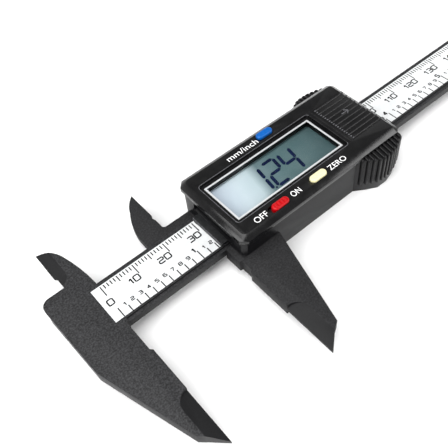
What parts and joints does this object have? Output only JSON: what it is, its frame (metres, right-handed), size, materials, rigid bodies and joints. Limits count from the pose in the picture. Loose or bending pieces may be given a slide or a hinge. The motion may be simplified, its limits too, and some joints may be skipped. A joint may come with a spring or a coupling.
{
  "type": "digital caliper",
  "caption": "Digital caliper in black composite, open: scaled beam with a fixed jaw, sliding display unit with the moving jaw, keys, power switch, battery door and depth rod.",
  "frame": {"origin": "bottom centre of the whole tool's box; the slider's back lies on Z = 0", "axes": "+X along the beam from the fixed jaw to the beam's end, +Y across the beam towards the inside jaws, +Z out of the display"},
  "size_m": [0.2724, 0.0734, 0.0161],
  "materials": {
    "composite": "grained black carbon-fibre composite, moulded",
    "cover_gloss": "gloss black injection moulding",
    "scale_print": "white lacquered metal with dark printed graduations",
    "circuit": "green solder resist on glass-fibre board",
    "steel": "bright turned and rolled steel",
    "bezel_silver": "silver plated trim",
    "window_clear": "clear moulded window",
    "lcd_glass": "grey-blue liquid crystal glass",
    "reflector": "matt silver foil",
    "holder_black": "black moulded plastic",
    "contact_rubber": "layered conductive rubber",
    "chip_black": "black potting resin",
    "key_blue": "satin blue moulding",
    "key_cream": "satin cream moulding",
    "key_red": "satin red moulding",
    "carrier_black": "black moulded acetal",
    "brass_gold": "gold-flashed spring brass",
    "wiper_grey": "light grey moulded plastic"
  },
  "bodies": {
    "beam": {"beam_and_fixed_jaw": "composite", "scale_plate": "scale_print", "scale_circuit_strip": "circuit", "end_stop": "steel", "end_stop_screws": "steel"},
    "slider": {"slider_frame": "composite", "front_cover": "cover_gloss", "front_cover_screws": "steel", "back_cover": "composite", "back_cover_screws": "steel", "display_bezel": "bezel_silver", "display_window": "window_clear", "lcd_panel": "lcd_glass", "lcd_reflector": "reflector", "lcd_holder": "holder_black", "zebra_strips": "contact_rubber", "circuit_board": "circuit", "board_screws": "steel", "controller_chip": "chip_black", "board_components": "chip_black", "contact_domes": "steel", "button_cell": "steel", "negative_contact": "brass_gold", "positive_contact": "brass_gold", "gib_strip": "brass_gold", "gib_screws": "steel", "scale_wiper": "wiper_grey", "depth_rod": "steel", "depth_rod_clip": "steel", "depth_rod_screws": "steel"},
    "mm_inch_key": {"mm_inch_button": "key_blue"},
    "zero_key": {"zero_button": "key_cream"},
    "switch": {"power_switch": "key_red", "switch_carrier": "carrier_black", "switch_contact": "brass_gold"},
    "door": {"battery_door": "cover_gloss"}
  },
  "joints": [
    {"name": "slider_slide", "type": "slide", "parent": "beam", "child": "slider", "axis": [1, 0, 0], "range_m": [-0.03145, 0.122]},
    {"name": "mm_inch_press", "type": "slide", "parent": "slider", "child": "mm_inch_key", "axis": [0, 0, -1], "range_m": [0, 0.0005], "stiffness_N_per_m": 1500},
    {"name": "zero_press", "type": "slide", "parent": "slider", "child": "zero_key", "axis": [0, 0, -1], "range_m": [0, 0.0005], "stiffness_N_per_m": 1500},
    {"name": "power_switch_slide", "type": "slide", "parent": "slider", "child": "switch", "axis": [1, 0, 0], "range_m": [-0.0012, 0]},
    {"name": "battery_door_slide", "type": "slide", "parent": "slider", "child": "door", "axis": [1, 0, 0], "range_m": [0, 0.014]}
  ]
}
